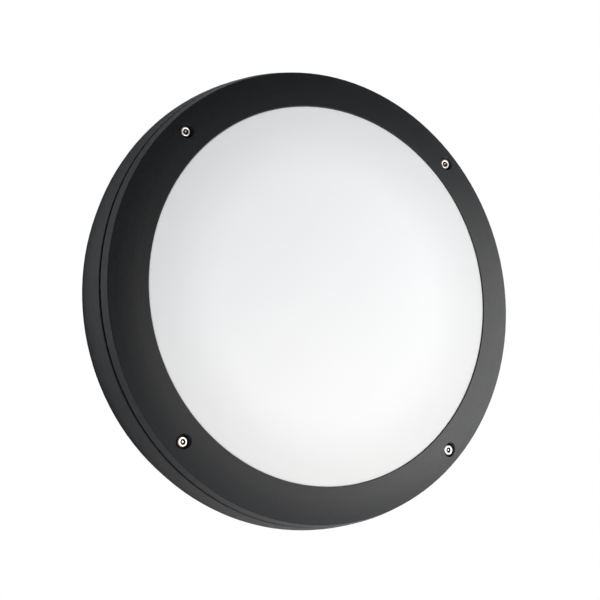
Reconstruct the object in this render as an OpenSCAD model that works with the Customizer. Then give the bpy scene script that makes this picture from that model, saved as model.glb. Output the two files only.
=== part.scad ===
// Round die-cast wall light with a sloping bezel, an opal diffuser and a gear tray behind it.
// Millimetres, +Z up. The wall is the plane Y = 0 and the light faces -Y. The origin is the
// centre of the face that lies on the wall.

/* [Base casting] */
// Largest diameter of the light, at the widest part of the base
overall_d = 300; // [285:1:330]
// Height of the base above the wall, up to its shoulder
base_h = 36.5; // [34:0.5:46]
// Height above the wall at which the base is widest
widest_h = 21.5; // [18:0.5:25]
// Radius of the base's side between the wall and its widest part
side_r = 40; // [32:1:60]
// How far the shoulder stands in from the widest part
shoulder_in = 1.3; // [0.8:0.1:2.4]
// Thickness of the floor of the base
floor_t = 3; // [2:0.5:4]
// Depth of the hollow behind the floor
rear_recess = 3; // [2:0.5:4]
// Width of the ring that lies on the wall
rear_rim_w = 9; // [6:0.5:14]
// Thickness of the tongue that stands up inside the bezel's skirt
tongue_t = 2.2; // [1.8:0.1:2.6]
// Inside radius between the floor and the side wall
floor_fillet = 5; // [2:0.5:7]

/* [Bezel] */
// Shadow gap between the base's shoulder and the bezel's skirt
shadow_gap = 2.2; // [1.2:0.1:3.6]
// Height of the skirt, from its lower edge to the front edge
skirt_h = 7.3; // [6.6:0.1:10]
// How much wider the skirt is at its lower edge than at the front edge
skirt_flare = 1.7; // [0.6:0.1:2]
// Thickness of the skirt at its lower edge
skirt_t = 3.1; // [2.8:0.1:3.6]
// Width of the sloping face, seen from the front
face_w = 24; // [22:0.5:26]
// Rise of the face from its outer edge to the opening
face_rise = 7.7; // [6:0.1:10]
// How far the curved face stands out from a straight line between its two edges
face_crown = 0.6; // [0.2:0.1:1.2]
// Thickness of the face, measured along the light's axis
face_t = 2.6; // [2:0.1:3]
// Rounding of the front edge
front_edge_r = 1.2; // [0.4:0.1:2]
// Rounding of the edge of the opening
lip_edge_r = 0.8; // [0.3:0.1:1.5]

/* [Bezel screws] */
// Diameter of the screw shanks
bezel_screw_d = 4; // [3:0.5:5]
// Length under the head
bezel_screw_l = 20; // [16:1:22]
// Diameter of the screw heads
bezel_head_d = 7; // [6.5:0.1:7.6]
// Height of the screw heads
bezel_head_h = 2.8; // [2.2:0.1:3]
// Width of the hexagon socket
bezel_socket_w = 3; // [2.5:0.5:3]
// Diameter of the pin in the socket, which keeps a plain key out
socket_pin_d = 1.2; // [0.8:0.1:1.4]
// Diameter of the counterbores
counterbore_d = 9.7; // [9:0.1:10]
// How far the heads lie below the face
head_sink = 1.6; // [0.8:0.1:2]

/* [Diffuser] */
// How far the edge of the dome lies behind the lip of the opening
dome_recess = 0.8; // [0.5:0.1:2]
// Rise of the dome from its edge to its centre
dome_rise = 2.1; // [1.5:0.1:12]
// Thickness of the diffuser
diffuser_t = 2.2; // [1.6:0.1:2.6]
// Rounding of the edge of the dome
dome_edge_r = 1; // [0.6:0.1:2]
// Thickness of the gasket over the flange
diffuser_gasket_t = 1.2; // [0.8:0.1:1.6]
// Width of a clip
clip_w = 10; // [8:1:14]
// Thickness of a clip
clip_t = 0.8; // [0.5:0.1:1.2]

/* [Seals] */
// Height of the gasket on the tongue
base_gasket_h = 2.5; // [2:0.1:2.8]
// Thickness of the sealing washers under the bezel screws
screw_seal_t = 1; // [0.6:0.1:1.2]

/* [Wall fixing and cable entry] */
// Diameter of the circle of the wall fixings
fixing_pcd = 200; // [190:1:204]
// Diameter of the holes for the wall fixings
fixing_hole_d = 6; // [4.5:0.5:7]
// Diameter of the hole for the cable grommet
entry_d = 22; // [18:1:24]
// Diameter of the cable that the grommet takes
cable_bore_d = 8; // [6:0.5:10]

/* [Gear tray] */
// Height of the tray's rear face above the wall
tray_z = 26; // [25:0.5:29]
// Thickness of the tray
tray_t = 1; // [0.8:0.1:1.5]
// Width of the tray's sloping reflector rim
tray_rim_w = 8; // [4:0.5:10]
// Height of the tray's reflector rim
tray_rim_h = 9; // [5:0.5:11]
// Diameter of the tray's screws
tray_screw_d = 4; // [3:0.5:4]

/* [LED board] */
// Thickness of the board
board_t = 1.6; // [1:0.1:2]
// Radius of the hole in the middle of the board
board_in_r = 28; // [20:1:30]
// Number of rings of chips
chip_rings = 3; // [2:1:4]
// Chips in the inner ring, and added in each ring after it
chips_per_ring = 8; // [6:1:10]
// Length of a chip
chip_l = 3.5; // [2.8:0.1:5]
// Width of a chip
chip_w = 2.8; // [2:0.1:3.5]
// Height of a chip
chip_h = 0.8; // [0.5:0.1:1]

/* [Driver] */
// Length of the driver
driver_l = 120; // [100:1:126]
// Width of the driver
driver_w = 38; // [32:1:40]
// Height of the driver's case
driver_case_h = 15.5; // [13:0.5:16]
// Thickness of the driver's lid
driver_lid_t = 1.5; // [1:0.1:2]
// Height of the driver's middle above the cable entry
driver_y = 45; // [43:0.5:46]

/* [Terminal block] */
// Distance between the poles
pole_pitch = 13; // [12:0.5:15]
// Width of the block across its wire entries
block_w = 22; // [18:1:24]
// Height of the block
block_h = 15; // [12:0.5:15]
// Distance of the block below the cable entry
block_y = 45; // [40:1:52]

/* [Leads] */
// Diameter of the mains leads inside the light
mains_lead_d = 2.5; // [2:0.1:2.8]
// Diameter of the leads from the driver to the LED board
led_lead_d = 2; // [1.4:0.1:2.2]

/* [Hidden] */
$fn = 96;
smooth_facets = 720;

casting_colour = "#2f3033";
rubber_colour = "#1c1c1d";
opal_colour = "#f4f4f2";
steel_colour = "#c9c5c0";
tray_colour = "#eeeeea";
brass_colour = "#b9974f";
board_colour = "#f2f2ee";
chip_colour = "#f3df8d";
plastic_colour = "#ecebe6";
live_colour = "#7a4a2a";
neutral_colour = "#2d5fa8";
earth_colour = "#6f9a3a";
positive_colour = "#b03a34";
negative_colour = "#26262a";

// Clearances
screw_clear = 0.05;
hole_clear = 0.25;
tongue_clear = 0.4;
seal_clear = 0.2;
flange_clear = 0.7;
dome_clear = 0.4;
tray_clear = 11.5;
board_clear = 8;
cut = 1;

// Heights above the wall, from the wall forward
floor_z = rear_recess + floor_t;
skirt_z = base_h + shadow_gap;
front_z = skirt_z + skirt_h;
lip_z = front_z + face_rise;
channel_t = 2;
channel_z = front_z - channel_t;
tongue_z = channel_z - base_gasket_h;
rib_drop = 1.5;
rib_z = tongue_z - rib_drop;

// Radii, from the outside in
base_r = overall_d / 2;
shoulder_r = base_r - shoulder_in;
front_r = shoulder_r - skirt_flare;
open_r = front_r - face_w;
skirt_in_r = shoulder_r - skirt_t;
tongue_r = skirt_in_r - tongue_clear;
pan_r = tongue_r - tongue_t;
rib_r = pan_r - tongue_clear;
rib_t = 1.6;
crown_h = base_h - widest_h;
crown_r = (crown_h * crown_h + shoulder_in * shoulder_in) / (2 * shoulder_in);
rear_r = base_r - side_r + sqrt(side_r * side_r - widest_h * widest_h);
shoulder_edge_r = 0.7;
skirt_edge_r = 0.4;

// Curve of the face, and the point where the straight lines that touch it at its edges meet
face_chord = norm([face_w, face_rise]);
face_arc_r = (face_chord * face_chord / 4 + face_crown * face_crown) / (2 * face_crown);
face_out = [face_rise, face_w] / face_chord;
face_mid = [front_r + open_r, front_z + lip_z] / 2;
face_centre = face_mid + face_out * (face_crown - face_arc_r);
face_peak = face_mid + face_out * face_chord * face_chord / (4 * (face_arc_r - face_crown));

// Bezel screws: the pillars of the bezel stand on the bosses of the base
screw_angles = [45, 135, 225, 315];
pillar_wall = 0.85;
pillar_r = counterbore_d / 2 + pillar_wall;
pillar_clear = 0.3;
screw_r = pan_r - pillar_clear - pillar_r;
boss_r = 5.2;
boss_web_w = 5;
head_top_z = face_z(screw_r) - head_sink;
head_z = head_top_z - bezel_head_h;
counterbore_z = head_z - screw_seal_t;
socket_share = 0.6;
socket_depth = bezel_head_h * socket_share;
pin_drop = 0.2;
screw_end_room = 2;

// Diffuser and its clips
flange_r = screw_r - pillar_r - flange_clear;
seat_r = flange_r + seal_clear;
seat_z = face_z(seat_r) - face_t;
flange_z = seat_z - diffuser_gasket_t - diffuser_t;
dome_r = open_r - dome_clear;
dome_z = lip_z - dome_recess;
clip_count = 6;
clip_angles = [for (i = [0 : clip_count - 1]) i * 360 / clip_count];
clip_post_r = 3.5;
clip_r = flange_r + flange_clear + clip_post_r;
clip_reach = 5;
clip_corner_r = 1.5;
clip_screw_d = 3;
clip_screw_depth = 3;

// Small pan-head screws that hold the gear
small_screw_d = 3;
small_head_d = 5.6;
small_head_h = 1.8;
small_socket_w = 2;

// Gear tray, carried by four pillars of the base
tray_top = tray_z + tray_t;
tray_r = screw_r - boss_r - tray_clear;
tray_flat_r = tray_r - tray_rim_w;
tray_screw_angles = [0, 90, 180, 270];
tray_head_d = 7.5;
tray_head_h = 2.4;
tray_socket_w = 2.5;
tray_screw_l = 10;
tray_pillar_r = 4.5;
tray_pillar_in = 3.5;
tray_fix_r = tray_flat_r - tray_pillar_r - tray_pillar_in;

// LED board
board_r = tray_fix_r - tray_head_d / 2 - board_clear;
board_top = tray_top + board_t;
board_screw_angles = [for (i = [0 : 4]) 90 + 72 * i];
board_screw_room = 3.5;
board_screw_r = driver_y + driver_w / 2 + small_screw_d / 2 + board_screw_room;
board_screw_l = 4;
chip_inner_margin = 10;
chip_outer_margin = 12;
chip_first_r = board_in_r + chip_inner_margin;
chip_last_r = board_r - chip_outer_margin;
chip_step_r = (chip_last_r - chip_first_r) / (chip_rings - 1);
connector_l = 9;
connector_w = 6;
connector_h = 4.5;
connector_edge = 0.5;
connector_r = board_r - connector_w / 2 - connector_edge;
pair_gap = 0.6;
lead_pair = led_lead_d + pair_gap;

// Driver, screwed to the rear of the tray by an ear at each end
driver_corner_r = 3;
driver_case_z = tray_z - driver_case_h;
driver_lid_z = driver_case_z - driver_lid_t;
ear_l = 9;
ear_w = 12;
ear_t = 2;
ear_x = driver_l / 2 + ear_l / 2;
driver_lead_z = driver_case_z + driver_case_h / 2;
driver_lead_pitch = 10;
driver_lead_depth = 5;

// Hole in the tray for the two leads of the LED board, past the end of the driver
lead_hole_d = 8;
lead_hole_room = 2.5;
grommet_lip = 1.4;
lead_hole_r = (board_r + tray_flat_r) / 2;
lead_hole_x = driver_l / 2 + ear_l + lead_hole_d / 2 + grommet_lip + lead_hole_room;
lead_angle = acos(lead_hole_x / lead_hole_r);

// Terminal block, on two pads of the base's floor
pad_h = 2;
pad_r = 4;
block_z = floor_z + pad_h;
block_l = 3 * pole_pitch;
block_corner_r = 1.5;
pole_x = [-pole_pitch, 0, pole_pitch];
block_screw_x = [-pole_pitch / 2, pole_pitch / 2];
wire_hole_d = 3.4;
wire_hole_depth = 7;
wire_share = 0.4;
wire_z = block_z + block_h * wire_share;
pole_screw_d = 4;
pole_screw_h = 3;
pole_screw_y = block_w / 4;
pole_slot = 0.8;
pole_well_d = 5;
pole_well_depth = 5;
block_foot_h = 4;
block_screw_l = 7;

// Earth point on the floor of the base
earth_angle = 206;
earth_in = 35.3;
earth_at = polar(tray_fix_r - earth_in, earth_angle);
earth_boss_h = 6;
earth_boss_r = 5;
earth_screw_d = 4;
earth_screw_l = 7;
earth_tag_t = 0.8;
earth_tag_r = 4.2;
earth_barrel_r = 2;
earth_barrel_l = 6;
earth_neck = 1;
earth_barrel_x = earth_tag_r + earth_neck;
earth_washer_t = 0.8;
earth_z = floor_z + earth_boss_h;
earth_turn = -75;

// Wall fixings and ribs of the base
fixing_angles = [45, 135, 225, 315];
fixing_boss_r = 8;
fixing_boss_h = 2;
rib_angles = [for (i = [0 : 7]) 22.5 + 45 * i];
floor_rib_t = 2;
floor_rib_h = 2;
entry_ring_t = 3;
grommet_flange = 2.5;
entry_ring_r = entry_d / 2 + grommet_flange + entry_ring_t;
grommet_flange_t = 2.2;
grommet_nose_h = 5;
grommet_nose_wall = 2.5;

// Leads
lead_sides = 8;
lead_steps = 3;
lead_end = 3;
lead_gap = 2.5;
lead_pitch = mains_lead_d + lead_gap;
lead_turn_y = block_y + block_w / 2 + 2 * lead_end + lead_pitch;
lead_room = 11;
lead_run_r = tray_fix_r - tray_pillar_r - lead_room;
lead_run_angles = [222, 200, 178];

// Height of the bezel's sloping face at a radius
function face_z(r) = face_centre.y + sqrt(face_arc_r * face_arc_r - pow(r - face_centre.x, 2));

function unit(v) = v / norm(v);

function polar(r, a) = [r * cos(a), r * sin(a)];

// Half the angle at corner p between its neighbours a and b
function half_angle(a, p, b) = acos(unit(a - p) * unit(b - p)) / 2;

// Everything is drawn with Z away from the wall and Y up, then stood up against the wall
module on_wall() {
    rotate([90, 0, 0])
        children();
}

module around(r, angles) {
    for (a = angles)
        rotate(a)
            translate([r, 0, 0])
                children();
}

// Closed outline through [x, y, corner radius] points; only outward corners take a radius
module soft_outline(points) {
    n = len(points);
    xy = [for (p = points) [p.x, p.y]];
    corners = [
        for (i = [0 : n - 1])
            let (a = xy[(i + n - 1) % n], p = xy[i], b = xy[(i + 1) % n], r = points[i].z)
            let (h = half_angle(a, p, b), run = r / tan(h))
            [p + unit(a - p) * run, p + unit(b - p) * run, p + unit(unit(a - p) + unit(b - p)) * r / sin(h)]
    ];
    polygon([for (i = [0 : n - 1]) each points[i].z > 0 ? [corners[i][0], corners[i][1]] : [xy[i]]]);
    for (i = [0 : n - 1])
        if (points[i].z > 0)
            translate(corners[i][2])
                circle(points[i].z);
}

module soft_rectangle(l, w, r) {
    soft_outline([[-l / 2, -w / 2, r], [l / 2, -w / 2, r], [l / 2, w / 2, r], [-l / 2, w / 2, r]]);
}

module tube(r_out, r_in, h) {
    difference() {
        cylinder(r = r_out, h = h);
        translate([0, 0, -cut])
            cylinder(r = r_in, h = h + 2 * cut);
    }
}

// Screw with a soft-edged head above Z = 0, its shank below, and a hexagon socket
module screw(d, l, head_d, head_h, socket_w, socket_h) {
    difference() {
        union() {
            rotate_extrude()
                soft_outline([
                    [0, 0, 0], [head_d / 2, 0, 0], [head_d / 2, head_h, head_h / 3], [0, head_h, 0]
                ]);
            translate([0, 0, -l])
                cylinder(d = d, h = l + head_h / 3);
        }
        translate([0, 0, head_h - socket_h])
            cylinder(d = socket_w / cos(30), h = socket_h + cut, $fn = 6);
    }
}

// Pan-head screw of the gear tray and the earth point
module gear_screw(d, l) {
    screw(d, l, tray_head_d, tray_head_h, tray_socket_w, tray_head_h / 2);
}

module small_screw(l) {
    screw(small_screw_d, l, small_head_d, small_head_h, small_socket_w, small_head_h / 2);
}

// Side of the base: a tight curve from the wall up to the widest part, a slow one above it
module base_side() {
    intersection() {
        translate([base_r - side_r, widest_h])
            circle(side_r);
        translate([base_r - side_r, 0])
            square([side_r, widest_h]);
    }
    square([base_r - side_r, base_h]);
    edge_z = base_h - shoulder_edge_r;
    edge_run = sqrt(pow(crown_r - shoulder_edge_r, 2) - pow(edge_z - widest_h, 2));
    edge_at = [base_r - crown_r + edge_run, edge_z];
    intersection() {
        translate([base_r - crown_r, widest_h])
            circle(crown_r);
        translate([0, widest_h])
            square([base_r, crown_h - shoulder_edge_r]);
    }
    translate([0, widest_h])
        square([edge_at.x, crown_h]);
    translate(edge_at)
        circle(shoulder_edge_r);
}

module base_section() {
    difference() {
        union() {
            base_side();
            square([tongue_r, tongue_z]);
        }
        soft_outline([
            [-cut, floor_z, 0], [pan_r, floor_z, floor_fillet],
            [pan_r, tongue_z + cut, 0], [-cut, tongue_z + cut, 0]
        ]);
        translate([-cut, -cut])
            square([rear_r - rear_rim_w + cut, rear_recess + cut]);
    }
}

module base_bosses() {
    around(screw_r, screw_angles) {
        translate([0, 0, floor_z - floor_t / 2])
            cylinder(r = boss_r, h = base_h - floor_z + floor_t / 2);
        translate([0, -boss_web_w / 2, floor_z - floor_t / 2])
            cube([pan_r - screw_r + tongue_t / 2, boss_web_w, base_h - floor_z + floor_t / 2]);
    }
    around(tray_fix_r, tray_screw_angles)
        translate([0, 0, floor_z - floor_t / 2])
            cylinder(r = tray_pillar_r, h = tray_z - floor_z + floor_t / 2);
    around(fixing_pcd / 2, fixing_angles)
        cylinder(r = fixing_boss_r, h = floor_z + fixing_boss_h);
    tube(entry_ring_r, entry_ring_r - entry_ring_t + hole_clear, floor_z - floor_t / 2);
    translate([earth_at.x, earth_at.y, floor_z - floor_t / 2])
        cylinder(r = earth_boss_r, h = earth_boss_h + floor_t / 2);
    for (x = block_screw_x)
        translate([x, -block_y, floor_z - floor_t / 2])
            cylinder(r = pad_r, h = pad_h + floor_t / 2);
    around(entry_ring_r, rib_angles)
        translate([0, -floor_rib_t / 2, floor_z - floor_t / 2])
            cube([pan_r + tongue_t / 2 - entry_ring_r, floor_rib_t, floor_rib_h + floor_t / 2]);
}

module base_holes() {
    screw_end = head_z - bezel_screw_l - screw_end_room;
    around(screw_r, screw_angles)
        translate([0, 0, screw_end])
            cylinder(d = bezel_screw_d + 2 * screw_clear, h = base_h - screw_end + cut);
    tray_end = tray_top - tray_screw_l - screw_end_room;
    around(tray_fix_r, tray_screw_angles)
        translate([0, 0, tray_end])
            cylinder(d = tray_screw_d + 2 * screw_clear, h = tray_z - tray_end + cut);
    around(fixing_pcd / 2, fixing_angles)
        translate([0, 0, -cut])
            cylinder(d = fixing_hole_d, h = floor_z + fixing_boss_h + 2 * cut);
    translate([0, 0, -cut])
        cylinder(d = entry_d, h = floor_z + 2 * cut);
    earth_end = earth_z + earth_tag_t + earth_washer_t - earth_screw_l;
    translate([earth_at.x, earth_at.y, earth_end])
        cylinder(d = earth_screw_d + 2 * screw_clear, h = earth_z - earth_end + cut);
    block_end = block_z + block_foot_h - block_screw_l;
    for (x = block_screw_x)
        translate([x, -block_y, block_end])
            cylinder(d = small_screw_d + 2 * screw_clear, h = block_z - block_end + cut);
}

module base_casting() {
    color(casting_colour)
        on_wall()
            difference() {
                union() {
                    rotate_extrude()
                        base_section();
                    base_bosses();
                }
                base_holes();
            }
}

module base_gasket() {
    color(rubber_colour)
        on_wall()
            translate([0, 0, tongue_z])
                tube(skirt_in_r - seal_clear, rib_r + seal_clear, base_gasket_h);
}

module bezel_section() {
    rib_in_r = rib_r - rib_t;
    intersection() {
        soft_outline([
            [open_r, seat_z, 0],
            [seat_r, seat_z, 0],
            [rib_in_r, face_z(rib_in_r) - face_t, 0],
            [rib_in_r, rib_z, 0],
            [rib_r, rib_z, 0],
            [rib_r, channel_z, 0],
            [skirt_in_r, channel_z, 0],
            [skirt_in_r, skirt_z, skirt_edge_r],
            [shoulder_r, skirt_z, skirt_edge_r],
            [front_r, front_z, front_edge_r],
            [face_peak.x, face_peak.y, 0],
            [open_r, lip_z, lip_edge_r]
        ]);
        translate(face_centre)
            circle(face_arc_r, $fn = smooth_facets);
    }
}

// Space under the bezel's face, which trims the pillars and posts that stand on its rear
module under_face() {
    rotate_extrude()
        polygon([
            [open_r, 0], [rib_r, 0],
            [rib_r, face_z(rib_r) - face_t / 2], [open_r, lip_z - face_t / 2]
        ]);
}

module bezel_ring() {
    color(casting_colour)
        on_wall()
            difference() {
                union() {
                    rotate_extrude()
                        bezel_section();
                    intersection() {
                        under_face();
                        union() {
                            around(screw_r, screw_angles)
                                translate([0, 0, base_h])
                                    cylinder(r = pillar_r, h = lip_z - base_h);
                            around(clip_r, clip_angles)
                                translate([0, 0, flange_z])
                                    cylinder(r = clip_post_r, h = lip_z - flange_z);
                        }
                    }
                }
                around(screw_r, screw_angles) {
                    translate([0, 0, base_h - cut])
                        cylinder(d = bezel_screw_d + 2 * hole_clear, h = lip_z - base_h);
                    translate([0, 0, counterbore_z])
                        cylinder(d = counterbore_d, h = lip_z - counterbore_z);
                }
                around(clip_r, clip_angles)
                    translate([0, 0, flange_z - cut])
                        cylinder(d = clip_screw_d + 2 * screw_clear, h = clip_screw_depth + hole_clear + cut);
            }
}

module bezel_screws() {
    color(steel_colour)
        on_wall()
            around(screw_r, screw_angles)
                translate([0, 0, head_z])
                    union() {
                        screw(
                            bezel_screw_d, bezel_screw_l, bezel_head_d, bezel_head_h,
                            bezel_socket_w, socket_depth
                        );
                        cylinder(d = socket_pin_d, h = bezel_head_h - pin_drop);
                    }
}

module bezel_screw_seals() {
    color(rubber_colour)
        on_wall()
            around(screw_r, screw_angles)
                translate([0, 0, counterbore_z])
                    tube(counterbore_d / 2 - hole_clear, bezel_screw_d / 2 + screw_clear, screw_seal_t);
}

// Section of a shallow dome with a rounded edge, down to Z = low
module dome_section(edge_r, edge_z, rise, round_r, low) {
    ball_r = (edge_r * edge_r + rise * rise) / (2 * rise);
    ball_z = edge_z + rise - ball_r;
    round_x = edge_r - round_r;
    round_at = [round_x, ball_z + sqrt(pow(ball_r - round_r, 2) - round_x * round_x)];
    meet = [0, ball_z] + unit(round_at - [0, ball_z]) * ball_r;
    translate([0, low])
        square([edge_r, round_at.y - low]);
    translate(round_at)
        circle(round_r);
    intersection() {
        translate([0, ball_z])
            circle(ball_r, $fn = smooth_facets);
        translate([0, low])
            square([meet.x, edge_z + rise - low + cut]);
    }
}

module diffuser() {
    color(opal_colour)
        on_wall()
            rotate_extrude()
                difference() {
                    union() {
                        dome_section(dome_r, dome_z, dome_rise, dome_edge_r, flange_z);
                        translate([0, flange_z])
                            square([flange_r, diffuser_t]);
                    }
                    dome_section(
                        dome_r - diffuser_t, dome_z - diffuser_t, dome_rise,
                        dome_edge_r / 2, flange_z - cut
                    );
                }
}

module diffuser_gasket() {
    color(rubber_colour)
        on_wall()
            translate([0, 0, flange_z + diffuser_t])
                tube(flange_r, open_r + seal_clear, diffuser_gasket_t);
}

module diffuser_clips() {
    clip_l = clip_r + clip_post_r - flange_r + clip_reach;
    color(steel_colour)
        on_wall()
            around(clip_r, clip_angles)
                translate([0, 0, flange_z - clip_t])
                    linear_extrude(clip_t)
                        difference() {
                            translate([clip_post_r - clip_l / 2, 0])
                                soft_rectangle(clip_l, clip_w, clip_corner_r);
                            circle(d = clip_screw_d + 2 * hole_clear);
                        }
}

module diffuser_clip_screws() {
    color(steel_colour)
        on_wall()
            around(clip_r, clip_angles)
                translate([0, 0, flange_z - clip_t])
                    mirror([0, 0, 1])
                        screw(
                            clip_screw_d, clip_t + clip_screw_depth, small_head_d, small_head_h,
                            small_socket_w, small_head_h / 2
                        );
}

module gear_tray() {
    color(tray_colour)
        on_wall()
            difference() {
                rotate_extrude()
                    polygon([
                        [0, tray_z], [tray_flat_r, tray_z], [tray_r, tray_z + tray_rim_h - tray_t],
                        [tray_r, tray_z + tray_rim_h], [tray_flat_r - tray_t / 2, tray_top], [0, tray_top]
                    ]);
                around(tray_fix_r, tray_screw_angles)
                    translate([0, 0, tray_z - cut])
                        cylinder(d = tray_screw_d + 2 * hole_clear, h = tray_t + 2 * cut);
                around(board_screw_r, board_screw_angles)
                    translate([0, 0, tray_z - cut])
                        cylinder(d = small_screw_d + 2 * screw_clear, h = tray_t + 2 * cut);
                for (x = [-ear_x, ear_x])
                    translate([x, driver_y, tray_z - cut])
                        cylinder(d = small_screw_d + 2 * screw_clear, h = tray_t + 2 * cut);
                around(lead_hole_r, [lead_angle])
                    translate([0, 0, tray_z - cut])
                        cylinder(d = lead_hole_d, h = tray_t + 2 * cut);
            }
}

module gear_tray_screws() {
    color(steel_colour)
        on_wall()
            around(tray_fix_r, tray_screw_angles)
                translate([0, 0, tray_top])
                    gear_screw(tray_screw_d, tray_screw_l);
}

module led_board() {
    color(board_colour)
        on_wall()
            difference() {
                translate([0, 0, tray_top])
                    tube(board_r, board_in_r, board_t);
                around(board_screw_r, board_screw_angles)
                    translate([0, 0, tray_top - cut])
                        cylinder(d = small_screw_d + 2 * hole_clear, h = board_t + 2 * cut);
            }
}

module led_chips() {
    color(chip_colour)
        on_wall()
            for (ring = [0 : chip_rings - 1]) {
                count = chips_per_ring * (ring + 1);
                around(chip_first_r + ring * chip_step_r, [for (i = [0 : count - 1]) (i + 0.5) * 360 / count])
                    translate([-chip_w / 2, -chip_l / 2, board_top])
                        cube([chip_w, chip_l, chip_h]);
            }
}

module led_board_screws() {
    color(steel_colour)
        on_wall()
            around(board_screw_r, board_screw_angles)
                translate([0, 0, board_top])
                    small_screw(board_screw_l);
}

module board_connector() {
    color(plastic_colour)
        on_wall()
            rotate(lead_angle)
                difference() {
                    translate([connector_r - connector_w / 2, -connector_l / 2, board_top])
                        cube([connector_w, connector_l, connector_h]);
                    for (y = [-lead_pair / 2, lead_pair / 2])
                        translate([connector_r, y, board_top + connector_h / 2])
                            rotate([0, 90, 0])
                                cylinder(d = led_lead_d + 2 * hole_clear, h = connector_w);
                }
}

module driver_case() {
    color(plastic_colour)
        on_wall()
            difference() {
                union() {
                    translate([0, driver_y, driver_case_z])
                        linear_extrude(driver_case_h)
                            soft_rectangle(driver_l, driver_w, driver_corner_r);
                    translate([0, driver_y, tray_z - ear_t])
                        linear_extrude(ear_t)
                            soft_rectangle(driver_l + 2 * ear_l, ear_w, driver_corner_r);
                }
                for (side = [-1, 1]) {
                    translate([side * ear_x, driver_y, tray_z - ear_t - cut])
                        cylinder(d = small_screw_d + 2 * hole_clear, h = ear_t + 2 * cut);
                    for (y = [-driver_lead_pitch / 2, driver_lead_pitch / 2])
                        translate([side * (driver_l / 2 - driver_lead_depth), driver_y + y, driver_lead_z])
                            rotate([0, side * 90, 0])
                                cylinder(d = wire_hole_d, h = driver_lead_depth + cut);
                }
            }
}

module driver_lid() {
    color(plastic_colour)
        on_wall()
            translate([0, driver_y, driver_lid_z])
                linear_extrude(driver_lid_t)
                    soft_rectangle(driver_l, driver_w, driver_corner_r);
}

module driver_screws() {
    color(steel_colour)
        on_wall()
            for (x = [-ear_x, ear_x])
                translate([x, driver_y, tray_z - ear_t])
                    mirror([0, 0, 1])
                        small_screw(ear_t + tray_t - screw_clear);
}

module terminal_block() {
    color(plastic_colour)
        on_wall()
            translate([0, -block_y, block_z])
                difference() {
                    linear_extrude(block_h)
                        soft_rectangle(block_l, block_w, block_corner_r);
                    for (x = pole_x, side = [-1, 1]) {
                        translate([x, side * pole_screw_y, block_h - pole_well_depth])
                            cylinder(d = pole_well_d, h = pole_well_depth + cut);
                        translate([x, side * (block_w / 2 - wire_hole_depth), wire_z - block_z])
                            rotate([-side * 90, 0, 0])
                                cylinder(d = wire_hole_d, h = wire_hole_depth + cut);
                    }
                    for (x = block_screw_x) {
                        translate([x, 0, -cut])
                            cylinder(d = small_screw_d + 2 * hole_clear, h = block_h + 2 * cut);
                        translate([x, 0, block_foot_h])
                            cylinder(d = small_head_d + 2 * hole_clear, h = block_h);
                    }
                }
}

module terminal_screws() {
    color(brass_colour)
        on_wall()
            for (x = pole_x, side = [-1, 1])
                translate([x, side * pole_screw_y - block_y, block_z + block_h - pole_well_depth])
                    difference() {
                        cylinder(d = pole_screw_d, h = pole_screw_h);
                        translate([-pole_screw_d, -pole_slot / 2, pole_screw_h - pole_slot])
                            cube([2 * pole_screw_d, pole_slot, cut]);
                    }
}

module terminal_block_screws() {
    color(steel_colour)
        on_wall()
            for (x = block_screw_x)
                translate([x, -block_y, block_z + block_foot_h])
                    small_screw(block_screw_l - screw_clear);
}

module at_earth(z) {
    on_wall()
        translate([earth_at.x, earth_at.y, z])
            children();
}

module earth_screw() {
    color(brass_colour)
        at_earth(earth_z + earth_tag_t + earth_washer_t)
            gear_screw(earth_screw_d, earth_screw_l - screw_clear);
}

module earth_washer() {
    color(steel_colour)
        at_earth(earth_z + earth_tag_t)
            tube(earth_tag_r, earth_screw_d / 2 + hole_clear, earth_washer_t);
}

// Ring terminal with its crimped barrel, which the earth lead goes into
module earth_tag() {
    color(brass_colour)
        at_earth(earth_z)
            rotate(earth_turn)
                difference() {
                    union() {
                        cylinder(r = earth_tag_r, h = earth_tag_t);
                        translate([0, -earth_barrel_r, 0])
                            cube([earth_barrel_x + earth_tag_t, 2 * earth_barrel_r, earth_tag_t]);
                        translate([earth_barrel_x, 0, earth_barrel_r])
                            rotate([0, 90, 0])
                                cylinder(r = earth_barrel_r, h = earth_barrel_l);
                    }
                    translate([earth_barrel_x + earth_tag_t, 0, earth_barrel_r])
                        rotate([0, 90, 0])
                            cylinder(d = mains_lead_d + 2 * hole_clear, h = earth_barrel_l);
                    translate([0, 0, -cut])
                        cylinder(d = earth_screw_d + 2 * hole_clear, h = earth_tag_t + 2 * cut);
                }
}

module cable_grommet() {
    waist_r = entry_d / 2 - screw_clear;
    lip_r = entry_d / 2 + grommet_flange;
    nose_r = cable_bore_d / 2 + grommet_nose_wall;
    rear_z = rear_recess - grommet_flange_t;
    inner_z = floor_z + grommet_flange_t;
    color(rubber_colour)
        on_wall()
            difference() {
                rotate_extrude()
                    polygon([
                        [0, rear_z], [lip_r, rear_z], [lip_r, rear_recess], [waist_r, rear_recess],
                        [waist_r, floor_z], [lip_r, floor_z], [lip_r, inner_z],
                        [nose_r + grommet_nose_wall, inner_z], [nose_r, inner_z + grommet_nose_h],
                        [0, inner_z + grommet_nose_h]
                    ]);
                cylinder(d = cable_bore_d, h = inner_z + grommet_nose_h + cut);
            }
}

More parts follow.
